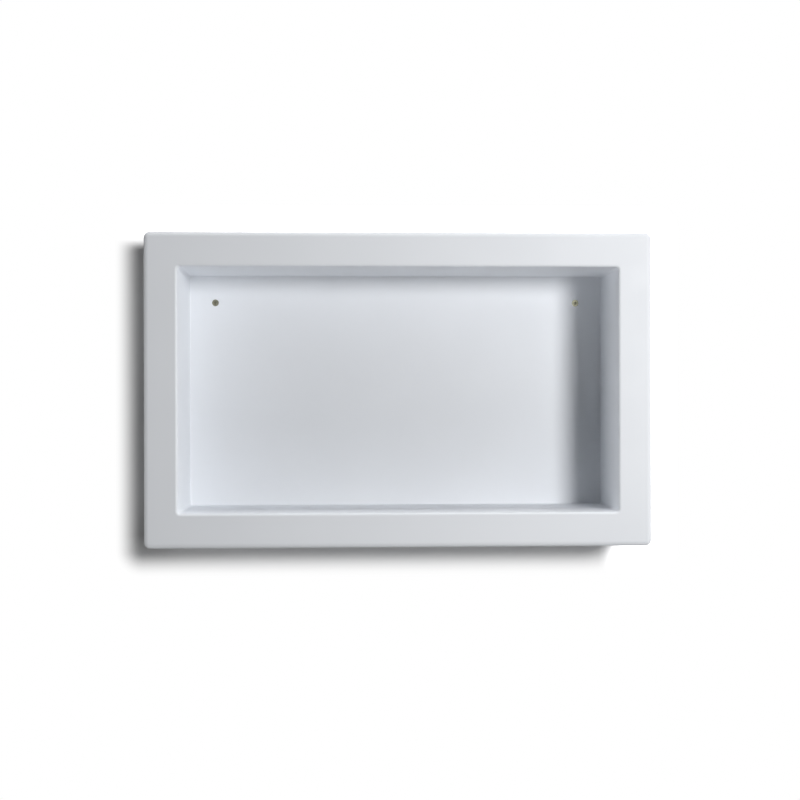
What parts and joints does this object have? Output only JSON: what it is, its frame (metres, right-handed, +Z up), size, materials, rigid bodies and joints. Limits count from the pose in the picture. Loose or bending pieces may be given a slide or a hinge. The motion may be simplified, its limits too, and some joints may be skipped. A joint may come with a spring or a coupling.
{
  "type": "shower niche",
  "caption": "Surface-mounted rectangular shower niche: a thick soft-edged frame round an open recess, screwed to the wall through its back panel.",
  "frame": {"origin": "centre of the flat rear face that lies against the wall", "axes": "+X along the width, to the right for someone facing the niche; +Y into the wall, so the recess opens to -Y; +Z up"},
  "size_m": [0.5, 0.128, 0.31],
  "materials": {
    "cast_resin": "satin",
    "plated_steel": "satin"
  },
  "bodies": {
    "root": {"niche_body": "cast_resin", "fixing_screws": "plated_steel"}
  },
  "joints": []
}
